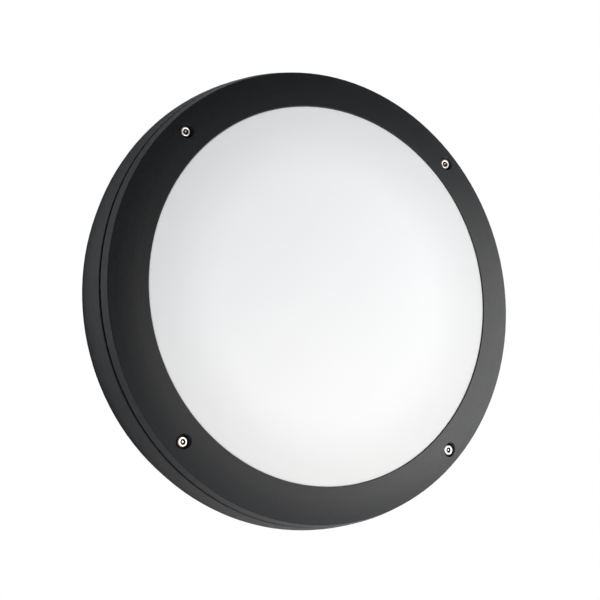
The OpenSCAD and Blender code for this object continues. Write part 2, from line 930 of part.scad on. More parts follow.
module tray_grommet() {
    waist_r = lead_hole_d / 2 - screw_clear;
    lip_r = lead_hole_d / 2 + grommet_lip;
    bore_r = lead_hole_d / 2 - grommet_lip;
    color(rubber_colour)
        on_wall()
            around(lead_hole_r, [lead_angle])
                rotate_extrude()
                    polygon([
                        [bore_r, tray_z - grommet_lip], [lip_r, tray_z - grommet_lip], [lip_r, tray_z],
                        [waist_r, tray_z], [waist_r, tray_top], [lip_r, tray_top],
                        [lip_r, tray_top + grommet_lip], [bore_r, tray_top + grommet_lip]
                    ]);
}

// Point on a smooth curve from b to c, with a before and d after them
function curve_point(a, b, c, d, t) =
    (2 * b + (c - a) * t + (2 * a - 5 * b + 4 * c - d) * t * t + (3 * b - a - 3 * c + d) * t * t * t) / 2;

function curve(p) = [
    for (i = [0 : len(p) - 2])
        for (j = [0 : lead_steps - 1])
            curve_point(p[max(i - 1, 0)], p[i], p[i + 1], p[min(i + 2, len(p) - 1)], j / lead_steps),
    p[len(p) - 1]
];

function directions(p) = [
    for (i = [0 : len(p) - 1])
        unit(p[min(i + 1, len(p) - 1)] - p[max(i - 1, 0)])
];

// Side vectors that turn with the path and never twist about it
function sides_along(t, n, i = 0) =
    i == len(t) ? [] : let (m = unit(n - (n * t[i]) * t[i])) concat([m], sides_along(t, m, i + 1));

module lead(path, d) {
    p = curve(path);
    t = directions(p);
    n = sides_along(t, cross(t[0], t[0].z > 0.9 ? [1, 0, 0] : [0, 0, 1]));
    k = lead_sides;
    rings = len(p);
    points = [
        for (i = [0 : rings - 1])
            for (j = [0 : k - 1])
                p[i] + (n[i] * cos(360 * j / k) + cross(t[i], n[i]) * sin(360 * j / k)) * d / 2
    ];
    walls = [
        for (i = [0 : rings - 2])
            for (j = [0 : k - 1])
                [i * k + j, (i + 1) * k + j, (i + 1) * k + (j + 1) % k, i * k + (j + 1) % k]
    ];
    first = [for (j = [0 : k - 1]) j];
    last = [for (j = [k - 1 : -1 : 0]) (rings - 1) * k + j];
    on_wall()
        polyhedron(points, concat(walls, [first, last]));
}

// Where a lead leaves a pole of the terminal block, and the points straight outside it
function pole_end(i) = [
    for (out = [-1, 1, 2])
        [pole_x[i], -block_y - block_w / 2 - out * lead_end, wire_z]
];

// Where a lead turns left below the block, and its way round the left side of the base
function lead_turn(i) = [pole_x[i] - lead_pitch, -lead_turn_y - i * lead_pitch, wire_z];

function lead_corner(i) = [-block_l / 2 - (i + 1) * lead_pitch, -lead_turn_y - i * lead_pitch, wire_z];

function lead_run(i) = [
    lead_turn(i),
    lead_corner(i),
    for (j = [0 : len(lead_run_angles) - 1])
        let (at = polar(lead_run_r - (len(pole_x) - 1 - i) * lead_pitch, lead_run_angles[j]))
        [at.x, at.y, wire_z + (driver_lead_z - wire_z) * (j + 1) / (len(lead_run_angles) + 1)]
];

// Where a lead goes into an end of the driver, from the points straight outside it
function driver_end(side, row) = [
    for (out = [2, 1, -1])
        [side * (driver_l / 2 + out * lead_end), driver_y + row * driver_lead_pitch / 2, driver_lead_z]
];

// Where the outer lead passes the inner one, on its way to the upper row of the driver's left end
function driver_pass() =
    [-driver_l / 2 - 2 * lead_end - lead_pitch, driver_y - driver_lead_pitch / 2, driver_lead_z];

module live_lead() {
    color(live_colour)
        lead(concat(pole_end(1), lead_run(1), driver_end(-1, -1)), mains_lead_d);
}

module neutral_lead() {
    color(neutral_colour)
        lead(concat(pole_end(2), lead_run(2), [driver_pass()], driver_end(-1, 1)), mains_lead_d);
}

module earth_lead() {
    tag_end = [
        for (out = [2, 1, -1])
            let (at = earth_at + polar(earth_barrel_x + earth_barrel_l + out * lead_end, earth_turn))
            [at.x, at.y, earth_z + earth_barrel_r]
    ];
    color(earth_colour)
        lead(concat(pole_end(0), [lead_turn(0)], tag_end), mains_lead_d);
}

// One of the pair from the driver through the tray to the connector on the LED board
function board_path(side) =
    let (across = polar(lead_pair / 2, lead_angle + 90) * side)
    let (hole = polar(lead_hole_r, lead_angle) + across)
    let (plug = polar(connector_r + connector_w / 2 - lead_end / 2, lead_angle) + across)
    let (near = polar(connector_r + connector_w / 2 + lead_end, lead_angle) + across)
    let (plug_z = board_top + connector_h / 2)
    [
        [hole.x, hole.y, tray_z - 2 * lead_end],
        [hole.x, hole.y, tray_z],
        [hole.x, hole.y, tray_top + lead_end],
        [near.x + across.x, near.y + across.y, plug_z + lead_end],
        [near.x, near.y, plug_z],
        [plug.x, plug.y, plug_z]
    ];

function reversed(p) = [for (i = [len(p) - 1 : -1 : 0]) p[i]];

module positive_lead() {
    color(positive_colour)
        lead(concat(reversed(driver_end(1, -1)), board_path(-1)), led_lead_d);
}

module negative_lead() {
    color(negative_colour)
        lead(concat(reversed(driver_end(1, 1)), board_path(1)), led_lead_d);
}

base_casting();
base_gasket();
bezel_ring();
bezel_screws();
bezel_screw_seals();
diffuser();
diffuser_gasket();
diffuser_clips();
diffuser_clip_screws();
gear_tray();
gear_tray_screws();
led_board();
led_chips();
led_board_screws();
board_connector();
driver_case();
driver_lid();
driver_screws();
terminal_block();
terminal_screws();
terminal_block_screws();
earth_screw();
earth_washer();
earth_tag();
cable_grommet();
tray_grommet();
live_lead();
neutral_lead();
earth_lead();
positive_lead();
negative_lead();
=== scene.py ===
"""Looks of a round die-cast wall light: its finishes, small fittings and leads, and a plain stage.

Metres, +Z up. The wall is the plane Y = 0 and the light faces -Y.
"""

import math

import bmesh
import bpy
from bpy.props import FloatProperty, FloatVectorProperty, IntProperty, PointerProperty
from mathutils import Matrix, Vector


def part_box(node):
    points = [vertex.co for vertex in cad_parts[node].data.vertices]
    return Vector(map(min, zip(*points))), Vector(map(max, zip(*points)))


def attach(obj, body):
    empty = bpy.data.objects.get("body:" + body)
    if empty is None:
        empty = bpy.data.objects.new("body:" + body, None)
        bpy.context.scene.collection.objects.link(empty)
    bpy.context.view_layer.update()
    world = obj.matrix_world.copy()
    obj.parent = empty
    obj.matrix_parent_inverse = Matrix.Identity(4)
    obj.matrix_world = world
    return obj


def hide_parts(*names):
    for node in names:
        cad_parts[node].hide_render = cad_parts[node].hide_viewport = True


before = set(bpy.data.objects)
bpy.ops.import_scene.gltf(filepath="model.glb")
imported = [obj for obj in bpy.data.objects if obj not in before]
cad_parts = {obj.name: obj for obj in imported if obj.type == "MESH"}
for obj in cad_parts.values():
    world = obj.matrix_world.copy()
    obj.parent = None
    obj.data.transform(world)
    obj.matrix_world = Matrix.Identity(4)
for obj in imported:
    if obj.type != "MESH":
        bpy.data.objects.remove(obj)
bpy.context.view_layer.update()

bl_info = {
    "name": "Round wall light",
    "version": (1, 0, 0),
    "blender": (4, 5, 0),
    "location": "3D View > Sidebar > Wall light",
    "description": "Finishes, fittings and a plain stage for a round die-cast wall light",
    "category": "Object",
}

MM = 0.001

# Attribute of the screws that is 1 in their sockets, where painted shade darkens them.
SOCKET_SHADE = "painted_socket_shade"
# Attribute of the LED chips that marks the face of their window.
CHIP_WINDOW = "window"
# Sockets of a Mix node that mixes colours: its factor, its two colours and its result.
FACTOR, FIRST, SECOND, MIXED = 0, 6, 7, 2
# Values between which nearly all of a noise texture lies.
NOISE_LOW, NOISE_HIGH = 0.3, 0.7
# Points of a CAD mesh that are closer than this are one point.
SAME_POINT = 0.0005 * MM
# Round edges that are drawn closer to their corner, so that little shade lies between the bezel's lip and the
# diffuser's rim: corner and shift as [radius, height], the reach of the round, and the share that stays.
LIP_EDGE = {"corner": (123.0 * MM, -53.79 * MM), "reach": 1.15 * MM, "share": 0.4}
RIM_EDGE = {
    "corner": (122.6 * MM, -52.9 * MM), "reach": 1.05 * MM, "share": 0.4, "shift": (0.25 * MM, -0.1 * MM)
}


def linear(hex_colour):
    """Linear RGBA of an sRGB hex colour."""
    channels = [int(hex_colour[i : i + 2], 16) / 255 for i in (1, 3, 5)]
    return [c / 12.92 if c <= 0.04045 else ((c + 0.055) / 1.055) ** 2.4 for c in channels] + [1.0]


WHITE = linear("#ffffff")


def colour_property(name, description, hex_colour):
    """Setting for a colour, with its default as sRGB hex."""
    return FloatVectorProperty(
        name=name, description=description, subtype="COLOR", size=4, min=0, max=1, default=linear(hex_colour)
    )


def length_property(name, description, millimetres):
    """Setting for a length, with its default in millimetres."""
    return FloatProperty(
        name=name, description=description, unit="LENGTH", subtype="DISTANCE", min=0, default=millimetres * MM
    )


def angle_property(name, description, degrees):
    """Setting for an angle, with its default in degrees."""
    return FloatProperty(name=name, description=description, subtype="ANGLE", default=math.radians(degrees))


class FinishSettings(bpy.types.PropertyGroup):
    """Colours and grain of the finishes."""

    coat: colour_property("Powder coat", "Colour of the two castings", "#1a1b1d")
    coat_grain: length_property("Coat grain", "Width of a grain of the powder coat", 1.5)
    opal: colour_property("Opal", "Colour of the diffuser", "#f3f3f1")
    steel: colour_property("Stainless steel", "Colour of the screws and clips", "#d8d0ca")
    # Painted shade in the screws' sockets, dark brown.
    socket_shade: colour_property("Socket_shade", "Colour of the screws' sockets", "#3a2c26")
    rubber: colour_property("Rubber", "Colour of the gaskets and grommets", "#1b1b1c")
    tray: colour_property("White steel", "Colour of the gear tray", "#ecece7")
    mask: colour_property("Solder mask", "Colour of the LED board", "#f0f0ea")
    plastic: colour_property("White plastic", "Colour of the driver, terminal block and connector", "#e7e6e0")
    phosphor: colour_property("Phosphor", "Colour of the LED chips' windows", "#f1d873")
    brass: colour_property("Brass", "Colour of the terminal screws and the earth point", "#c6a25a")
    live: colour_property("Live lead", "Colour of the live lead", "#6b3d20")
    neutral: colour_property("Neutral lead", "Colour of the neutral lead", "#23559f")
    earth_green: colour_property("Earth lead, green", "First colour of the earth lead", "#3f8a3a")
    earth_yellow: colour_property("Earth lead, yellow", "Second colour of the earth lead", "#e0c63a")
    positive: colour_property("Positive lead", "Colour of the LED board's positive lead", "#a8302a")
    negative: colour_property("Negative lead", "Colour of the LED board's negative lead", "#222226")


class FittingSettings(bpy.types.PropertyGroup):
    """Sizes of the screws and LED chips."""

    bezel_head: length_property("Bezel screw head", "Diameter of the bezel screws' heads", 7)
    bezel_head_h: length_property("Bezel screw head height", "Height of the bezel screws' heads", 2.8)
    bezel_socket: length_property("Bezel screw socket", "Width of the bezel screws' sockets", 3)
    bezel_pin: length_property("Bezel screw pin", "Diameter of the pin in the bezel screws' sockets", 1.2)
    bezel_shank: length_property("Bezel screw shank", "Diameter of the bezel screws' threads", 4)
    pitch: length_property("Screw pitch", "Distance between the threads of the bezel and tray screws", 0.7)
    tray_head: length_property("Tray screw head", "Diameter of the tray screws' heads", 7.5)
    tray_head_h: length_property("Tray screw head height", "Height of the tray screws' heads", 2.4)
    tray_shank: length_property("Tray screw shank", "Diameter of the tray screws' threads", 4)
    small_head: length_property("Small screw head", "Diameter of the small screws' heads", 5.6)
    small_head_h: length_property("Small screw head height", "Height of the small screws' heads", 1.8)
    small_shank: length_property("Small screw shank", "Diameter of the small screws' threads", 3)
    small_pitch: length_property("Small screw pitch", "Distance between the small screws' threads", 0.5)
    chip_l: length_property("Chip length", "Length of an LED chip, along its ring", 3.5)
    chip_w: length_property("Chip width", "Width of an LED chip, across its ring", 2.8)
    chip_h: length_property("Chip height", "Height of an LED chip", 0.8)
    chip_rings: IntProperty(name="Chip rings", description="Rings of LED chips", min=1, default=3)
    chips_per_ring: IntProperty(
        name="Chips per ring", description="Chips in the inner ring, and added in each ring after it",
        min=1, default=8,
    )


class StageSettings(bpy.types.PropertyGroup):
    """Camera, floor and lamps."""

    azimuth: angle_property("Azimuth", "Camera's turn about the upright axis", -28.697)
    elevation: angle_property("Elevation", "Camera's height above the horizon", -8.022)
    distance: length_property("Distance", "Distance of the camera from its target", 1106.114)
    target: FloatVectorProperty(
        name="Target", description="Point that the camera looks at", subtype="TRANSLATION", unit="LENGTH",
        default=(-0.014196, -0.046, -0.003758),
    )
    lens: FloatProperty(
        name="Lens", description="Focal length, in millimetres", unit="CAMERA", min=1, default=103.526
    )
    sensor: FloatProperty(
        name="Sensor", description="Width of the sensor, in millimetres", unit="CAMERA", min=1, default=36
    )
    floor_drop: length_property("Floor drop", "Distance of the floor below the light's centre", 500)
    floor_reach: length_property("Floor reach", "Distance from the middle of the floor to its sides", 2000)
    floor: colour_property("Floor", "Colour of the floor", "#e9e9e7")
    ambient: colour_property("Ambient", "Colour of the soft light from all sides", "#8f98a8")
    surroundings: colour_property("Surroundings", "Colour of the dim room that reflections show", "#2f2f2f")
    card_hole: length_property("Card hole", "Radius of the hole in the card behind the light", 139.5)
    card_shade: length_property("Card shade", "Width of the light's soft shade on the card", 35)
    card_reach: length_property("Card reach", "Radius of the card behind the light", 900)


def add(tree, kind, inputs=None, **settings):
    """Adds a node with its settings. Each input, by name or number, is a value or another node's socket."""
    node = tree.nodes.new(kind)
    for key, value in settings.items():
        setattr(node, key, value)
    for key, value in (inputs or {}).items():
        if isinstance(value, bpy.types.NodeSocket):
            tree.links.new(value, node.inputs[key])
        else:
            node.inputs[key].default_value = value
    return node


def finish_settings():
    return bpy.context.scene.wall_light_finishes


def shade(colour, factor):
    """The same colour, lighter or darker by a factor."""
    return [min(c * factor, 1.0) for c in colour[:3]] + [1.0]


def grained(name, colours, roughness, grain, depth, cloud=12 * MM, **sockets):
    """Finish with two close tones in soft clouds, and grain of a real width in its bump and roughness."""
    material = bpy.data.materials.new(name)
    material.use_nodes = True
    tree = material.node_tree
    tree.nodes.clear()
    place = add(tree, "ShaderNodeTexCoord").outputs["Object"]
    clouds = add(
        tree, "ShaderNodeTexNoise", {"Vector": place, "Scale": 1 / cloud, "Detail": 3.0, "Roughness": 0.6}
    )
    tones = add(
        tree, "ShaderNodeMix", {FACTOR: clouds.outputs["Fac"], FIRST: colours[0], SECOND: colours[1]},
        data_type="RGBA",
    )
    grains = add(
        tree, "ShaderNodeTexNoise", {"Vector": place, "Scale": 1 / grain, "Detail": 2.0, "Roughness": 0.5}
    )
    gloss = add(
        tree, "ShaderNodeMapRange",
        {
            "Value": grains.outputs["Fac"], "From Min": NOISE_LOW, "From Max": NOISE_HIGH,
            "To Min": roughness[0], "To Max": roughness[1],
        },
    )
    bump = add(tree, "ShaderNodeBump", {"Height": grains.outputs["Fac"], "Distance": depth, "Strength": 1.0})
    surface = add(
        tree, "ShaderNodeBsdfPrincipled",
        {
            "Base Color": tones.outputs[MIXED], "Roughness": gloss.outputs["Result"],
            "Normal": bump.outputs["Normal"], **sockets,
        },
    )
    add(tree, "ShaderNodeOutputMaterial", {"Surface": surface.outputs["BSDF"]})
    return material


def surface_of(material):
    """The shader that a finish ends in."""
    return next(n for n in material.node_tree.nodes if n.type == "BSDF_PRINCIPLED")


def tint(material, mask, colour):
    """Mixes a second colour into a finish where a mask is 1."""
    tree = material.node_tree
    base = surface_of(material).inputs["Base Color"]
    plain = base.links[0].from_socket
    toned = add(tree, "ShaderNodeMix", {FACTOR: mask, FIRST: plain, SECOND: colour}, data_type="RGBA")
    tree.links.new(toned.outputs[MIXED], base)


def shade_outwards(material, reaches, factors):
    """Multiplies a finish's colour by a factor that changes between two distances from the Y axis."""
    tree = material.node_tree
    place = add(tree, "ShaderNodeTexCoord").outputs["Object"]
    across = add(tree, "ShaderNodeVectorMath", {0: place, 1: (1, 0, 1)}, operation="MULTIPLY")
    reach = add(tree, "ShaderNodeVectorMath", {0: across.outputs[0]}, operation="LENGTH")
    factor = add(
        tree, "ShaderNodeMapRange",
        {
            "Value": reach.outputs["Value"], "From Min": reaches[0], "From Max": reaches[1],
            "To Min": factors[0], "To Max": factors[1],
        },
        interpolation_type="SMOOTHSTEP",
    )
    base = surface_of(material).inputs["Base Color"]
    plain = base.links[0].from_socket
    toned = add(tree, "ShaderNodeVectorMath", {0: plain, 3: factor.outputs["Result"]}, operation="SCALE")
    tree.links.new(toned.outputs[0], base)


def glow_to_camera(material, colour, strength):
    """Makes a finish paler for the camera alone, so that it lights nothing and keeps its shadows."""
    tree = material.node_tree
    surface = surface_of(material)
    seen = add(tree, "ShaderNodeLightPath").outputs["Is Camera Ray"]
    glow = add(tree, "ShaderNodeMath", {0: seen, 1: strength}, operation="MULTIPLY")
    surface.inputs["Emission Color"].default_value = colour
    tree.links.new(glow.outputs[0], surface.inputs["Emission Strength"])


def satin_powder_coat():
    # Polyester powder baked on die-cast aluminium: a near-black satin skin whose grit breaks up reflections.
    # The grit is about 0.2 mm wide, and is drawn coarser so that it shows.
    s = finish_settings()
    return grained(
        "satin_powder_coat", (shade(s.coat, 0.88), shade(s.coat, 1.12)), roughness=(0.42, 0.52),
        grain=s.coat_grain, depth=0.045 * MM, **{"Specular IOR Level": 0.5},
    )


def opal_polycarbonate():
    # Injection-moulded opal polycarbonate: white all through, softly glossy, and light spreads inside it.
    # It lets some light through, and its colour is painted darker towards its rim, as painted shade where no
    # white tray lies behind it.
    s = finish_settings()
    material = grained(
        "opal_polycarbonate", (shade(s.opal, 0.985), s.opal), roughness=(0.30, 0.36),
        grain=14 * MM, depth=0.02 * MM, cloud=60 * MM,
        **{
            "IOR": 1.58, "Specular IOR Level": 0.3, "Subsurface Weight": 0.25,
            "Subsurface Radius": (1.0, 1.0, 1.0), "Subsurface Scale": 3 * MM,
        },
    )
    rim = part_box("diffuser")[1].x
    # Painted shade: the opal's colour darkens towards its rim.
    shade_outwards(material, reaches=(0.56 * rim, 0.94 * rim), factors=(1.0, 0.86))
    return material


def turned_stainless():
    # Stainless steel, turned and tumbled: bright, a little warm, with fine marks that blur its reflections.
    # The sockets are painted dark brown, as painted shade in the recesses.
    s = finish_settings()
    material = grained(
        "turned_stainless", (shade(s.steel, 0.9), s.steel), roughness=(0.22, 0.36),
        grain=0.35 * MM, depth=0.004 * MM, cloud=2 * MM, Metallic=1.0,
    )
    socket_shade = add(material.node_tree, "ShaderNodeAttribute", attribute_name=SOCKET_SHADE)
    tint(material, socket_shade.outputs["Fac"], s.socket_shade)
    return material


def black_rubber():
    # Moulded EPDM rubber: black, dull and slightly dusty.
    s = finish_settings()
    return grained(
        "black_rubber", (s.rubber, shade(s.rubber, 1.5)), roughness=(0.7, 0.85),
        grain=0.8 * MM, depth=0.03 * MM, cloud=8 * MM,
    )


def white_coated_steel():
    # Steel sheet with a white coil coating: even, satin, with a slight orange peel.
    s = finish_settings()
    return grained(
        "white_coated_steel", (shade(s.tray, 0.96), s.tray), roughness=(0.38, 0.46),
        grain=2 * MM, depth=0.02 * MM, cloud=40 * MM,
    )


def white_solder_mask():
    # White solder mask printed on an aluminium-backed board: smooth and satin, a little uneven.
    s = finish_settings()
    return grained(
        "white_solder_mask", (shade(s.mask, 0.94), s.mask), roughness=(0.3, 0.42),
        grain=0.6 * MM, depth=0.008 * MM, cloud=5 * MM,
    )


def white_moulded_plastic():
    # Moulded polycarbonate and polyamide housings: matte white with a fine spark-eroded grain.
    s = finish_settings()
    return grained(
        "white_moulded_plastic", (shade(s.plastic, 0.95), s.plastic), roughness=(0.5, 0.62),
        grain=0.7 * MM, depth=0.03 * MM,
    )


def chip_phosphor():
    # Silicone with phosphor in an LED chip's window: yellow, slightly glossy and speckled.
    s = finish_settings()
    return grained(
        "chip_phosphor", (shade(s.phosphor, 0.8), s.phosphor), roughness=(0.25, 0.4),
        grain=0.3 * MM, depth=0.01 * MM, cloud=MM,
    )


def plated_brass():
    # Plated brass, pressed and machined: yellow metal with dull marks.
    s = finish_settings()
    return grained(
        "plated_brass", (shade(s.brass, 0.85), s.brass), roughness=(0.25, 0.42),
        grain=0.5 * MM, depth=0.006 * MM, Metallic=1.0,
    )


def lead_pvc(name, colour):
    # Extruded PVC on a stranded lead: coloured, smooth and slightly waxy.
    return grained(
        name, (shade(colour, 0.85), colour), roughness=(0.35, 0.45),
        grain=1.5 * MM, depth=0.02 * MM, cloud=6 * MM,
    )


def striped_lead_pvc():
    # Two-coloured PVC of the earth lead: green, with a yellow stripe along the side that faces the wall.
    s = finish_settings()
    material = lead_pvc("green_yellow_lead_pvc", s.earth_green)
    tree = material.node_tree
    facing = add(tree, "ShaderNodeSeparateXYZ", {0: add(tree, "ShaderNodeNewGeometry").outputs["Normal"]})
    soft = 0.05
    stripe = add(
        tree, "ShaderNodeMapRange", {"Value": facing.outputs["Y"], "From Min": -soft, "From Max": soft}
    )
    tint(material, stripe.outputs["Result"], s.earth_yellow)
    return material


def pale_paint(name, colour, roughness):
    # Matt paint of the stage: pale and even, so that it draws no eye.
    return grained(
        name, (shade(colour, 0.97), colour), roughness=roughness,
        grain=6 * MM, depth=0.05 * MM, cloud=300 * MM,
    )


FINISHES = {
    "powder_coat": satin_powder_coat,
    "opal": opal_polycarbonate,
    "stainless": turned_stainless,
    "black_rubber": black_rubber,
    "white_steel": white_coated_steel,
    "board_white": white_solder_mask,
    "phosphor": chip_phosphor,
    "white_plastic": white_moulded_plastic,
    "brass": plated_brass,
    "brown_pvc": lambda: lead_pvc("brown_lead_pvc", finish_settings().live),
    "blue_pvc": lambda: lead_pvc("blue_lead_pvc", finish_settings().neutral),
    "green_yellow_pvc": striped_lead_pvc,
    "red_pvc": lambda: lead_pvc("red_lead_pvc", finish_settings().positive),
    "black_pvc": lambda: lead_pvc("black_lead_pvc", finish_settings().negative),
}
made_finishes = {}


def finish(slot):
    """The material of one of the record's slots, made on first use."""
    if slot not in made_finishes:
        made_finishes[slot] = FINISHES[slot]()
    return made_finishes[slot]


def place_piece(name, mesh, slot, *nodes):
    """Puts a finished mesh into the scene in place of CAD nodes."""
    piece = bpy.data.objects.new(name, mesh)
    bpy.context.scene.collection.objects.link(piece)
    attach(piece, "root")
    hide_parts(*nodes)
    return piece


def turned_normals(mesh, sharp):
    """Sets exact normals on what is turned about the Y axis, smooth across edges blunter than an angle."""
    # A face is turned where its normal keeps nearly its whole length in the plane of the profile.
    turned = 0.998
    pole = 0.01 * MM
    limit = math.cos(math.radians(sharp))
    slopes = []
    around = [[] for _ in mesh.vertices]
    for face in mesh.polygons:
        reach = math.hypot(face.center.x, face.center.z)
        outwards = (face.normal.x * face.center.x + face.normal.z * face.center.z) / max(reach, MM)
        slope = Vector((outwards, face.normal.y))
        slopes.append(slope.normalized() if slope.length > turned else None)
        if slopes[-1]:
            for vertex in face.vertices:
                around[vertex].append((slopes[-1], face.area))
    normals = [corner.vector.copy() for corner in mesh.corner_normals]
    for face, slope in zip(mesh.polygons, slopes):
        for loop in face.loop_indices if slope else ():
            point = mesh.vertices[mesh.loops[loop].vertex_index]
            reach = math.hypot(point.co.x, point.co.z)
            alike = (s * area for s, area in around[point.index] if s.dot(slope) > limit)
            blend = sum(alike, Vector((0, 0))).normalized()
            share = blend.x / reach if reach > pole else 0.0
            normals[loop] = Vector((share * point.co.x, blend.y, share * point.co.z))
    mesh.normals_split_custom_set(normals)


def tighten(mesh, corner, reach, share, shift=(0.0, 0.0)):
    """Draws a round edge that runs about the Y axis in towards its corner, and shifts it."""
    for vertex in mesh.vertices:
        radius = math.hypot(vertex.co.x, vertex.co.z)
        out, up = radius - corner[0], vertex.co.y - corner[1]
        if math.hypot(out, up) < reach:
            scale = (corner[0] + shift[0] + share * out) / radius
            vertex.co = Vector((vertex.co.x * scale, corner[1] + shift[1] + share * up, vertex.co.z * scale))


def smooth_copy(node, name, slot, sharp=30, turned=False, edge=None):
    """Replaces a CAD node by a merged copy, smooth except at sharp edges, with one round edge tightened."""
    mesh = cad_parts[node].data.copy()
    mesh.name = name
    shape = bmesh.new()
    shape.from_mesh(mesh)
    bmesh.ops.remove_doubles(shape, verts=shape.verts, dist=SAME_POINT)
    shape.to_mesh(mesh)
    shape.free()
    if edge:
        tighten(mesh, **edge)
    mesh.materials.clear()
    mesh.materials.append(finish(slot))
    mesh.shade_smooth()
    mesh.set_sharp_from_angle(angle=math.radians(sharp))
    if turned:
        turned_normals(mesh, sharp)
    return place_piece(name, mesh, slot, node)


def ring_points(radius, height, count, start=0.0):
    """Points of a circle round the Y axis. Start is a share of the step between two points."""
    angles = (2 * math.pi * (i + start) / count for i in range(count))
    return [Vector((radius * math.cos(a), height, radius * math.sin(a))) for a in angles]


def add_ring(shape, points):
    return [shape.verts.new(point) for point in points]


def join_rings(shape, rings):
    """Adds the faces between rings that follow each other, where a ring of one point is a pole."""
    for a, b in zip(rings, rings[1:]):
        count = max(len(a), len(b))
        for i in range(count):
            j = (i + 1) % count
            corners = (a[i % len(a)], a[j % len(a)], b[j % len(b)], b[i % len(b)])
            shape.faces.new(dict.fromkeys(corners))


def lathe(shape, profile, sides):
    """Adds a surface of rings round the Y axis through [radius, height] points, closed at a zero radius."""
    rings = [
        add_ring(shape, ring_points(radius, height, sides if radius > 0 else 1)) for radius, height in profile
    ]
    join_rings(shape, rings)
    return rings


def mesh_of(shape, name):
    mesh = bpy.data.meshes.new(name)
    shape.to_mesh(mesh)
    shape.free()
    return mesh


def rounded_corner(centre, radius, start, end, steps=5):
    """[radius, height] points of an arc in a profile, between two angles in degrees."""
    angles = [math.radians(start + (end - start) * i / steps) for i in range(steps + 1)]
    return [(centre[0] + radius * math.cos(a), centre[1] + radius * math.sin(a)) for a in angles]


def hexagon_points(width, height, count):
    """Points of a hexagon round the Y axis, as wide as given across its flats."""
    sixth = math.pi / 3
    points = []
    for i in range(count):
        a = 2 * math.pi * i / count
        radius = width / 2 / math.cos((a + sixth / 2) % sixth - sixth / 2)
        points.append((radius * math.cos(a), height, radius * math.sin(a)))
    return points


def screw_head(shape, head_d, head_h, socket_w, socket_h, shank_d, pin_d, sides=36):
    """Adds a head with a hexagon socket, from Y = 0 towards -Y. Returns the rings inside the socket."""
    head_r = head_d / 2
    edge_r = head_h / 3
    foot = 0.08 * head_h
    mouth_r = 0.62 * socket_w
    bevel = 0.1 * MM
    top, bottom = -head_h, socket_h - head_h
    outline = [(shank_d / 2, 0.0), (head_r - foot, 0.0), (head_r, -foot)]
    outline += rounded_corner((head_r - edge_r, top + edge_r), edge_r, 0, -90)
    outline += [(mouth_r + bevel, top), (mouth_r, top + 0.6 * bevel)]
    head = lathe(shape, outline, sides)
    socket = [add_ring(shape, hexagon_points(socket_w, y, sides)) for y in (top + 1.2 * bevel, bottom)]
    if pin_d:
        pin_r, pin_top = pin_d / 2, top + 2 * bevel
        floor = [(pin_r, bottom), (pin_r, pin_top + bevel), (pin_r - bevel, pin_top), (0.0, pin_top)]
    else:
        floor = [(0.3 * socket_w, bottom), (0.0, bottom + 2 * bevel)]
    inside = lathe(shape, floor, sides)
    join_rings(shape, [head[-1], *socket, inside[0]])
    return socket + inside[:2]


def screw_thread(shape, shank_d, shank_l, pitch, sides=18):
    """Adds a thread from Y = 0 towards +Y that starts from nothing and tapers off in its last turn."""
    steps_per_turn = 4
    depth = 0.55 * pitch
    steps = max(int(shank_l / pitch * steps_per_turn), 2 * steps_per_turn)
    rings = []
    for k in range(steps + 1):
        y = shank_l * k / steps
        grown = min(1.0, y / pitch)
        faded = 1 - min(1.0, (shank_l - y) / pitch)
        points = []
        for i in range(sides):
            a = 2 * math.pi * i / sides
            valley = abs(2 * ((y / pitch + i / sides) % 1.0) - 1)
            r = shank_d / 2 - depth * valley * grown - faded * depth
            points.append((r * math.cos(a), y, r * math.sin(a)))
        rings.append(add_ring(shape, points))
    join_rings(shape, rings)
    shape.faces.new(rings[-1])


def screw_mesh(name, head_d, head_h, socket_w, socket_h, shank_d, shank_l, pitch, pin_d=0.0, sharp=38):
    """Screw with its head towards -Y from Y = 0, a socket with a pin if it has one, and a thread towards +Y."""
    shape = bmesh.new()
    socket_shade = shape.verts.layers.float.new(SOCKET_SHADE)
    socket = screw_head(shape, head_d, head_h, socket_w, socket_h, shank_d, pin_d)
    screw_thread(shape, shank_d, shank_l, pitch)
    bmesh.ops.recalc_face_normals(shape, faces=shape.faces)
    # The sockets are marked for their painted shade.
    for ring in socket:
        for vertex in ring:
            vertex[socket_shade] = 1.0
    mesh = mesh_of(shape, name)
    mesh.shade_smooth()
    mesh.set_sharp_from_angle(angle=math.radians(sharp))
    return mesh


def socket_of(tree, name):
    """Identifier of a tree's input."""
    return next(i.identifier for i in tree.interface.items_tree if i.name == name and i.in_out == "INPUT")


def pattern_tree(name, inputs):
    """Empty Geometry Nodes tree with named inputs, and its two end nodes."""
    tree = bpy.data.node_groups.new(name, "GeometryNodeTree")
    tree.interface.new_socket("Geometry", in_out="OUTPUT", socket_type="NodeSocketGeometry")
    for label, kind in inputs:
        tree.interface.new_socket(label, in_out="INPUT", socket_type=kind)
    return tree, add(tree, "NodeGroupInput").outputs, add(tree, "NodeGroupOutput")


def copies_round(tree, count, arm, turn, piece, rotation, offset=(0, 0, 0)):
    """Real copies of an object, each turned, on the ends of arms that are turned about the Y axis."""
    points = add(tree, "GeometryNodePoints", {"Count": count})
    spot = add(tree, "ShaderNodeVectorRotate", {"Vector": arm, "Rotation": turn}, rotation_type="EULER_XYZ")
    placed = add(
        tree, "GeometryNodeSetPosition",
        {"Geometry": points.outputs[0], "Position": spot.outputs[0], "Offset": offset},
    )
    source = add(tree, "GeometryNodeObjectInfo", {"Object": piece}, transform_space="ORIGINAL")
    copies = add(
        tree, "GeometryNodeInstanceOnPoints",
        {"Points": placed.outputs[0], "Instance": source.outputs["Geometry"], "Rotation": rotation},
    )
    return add(tree, "GeometryNodeRealizeInstances", {"Geometry": copies.outputs[0]}).outputs[0]


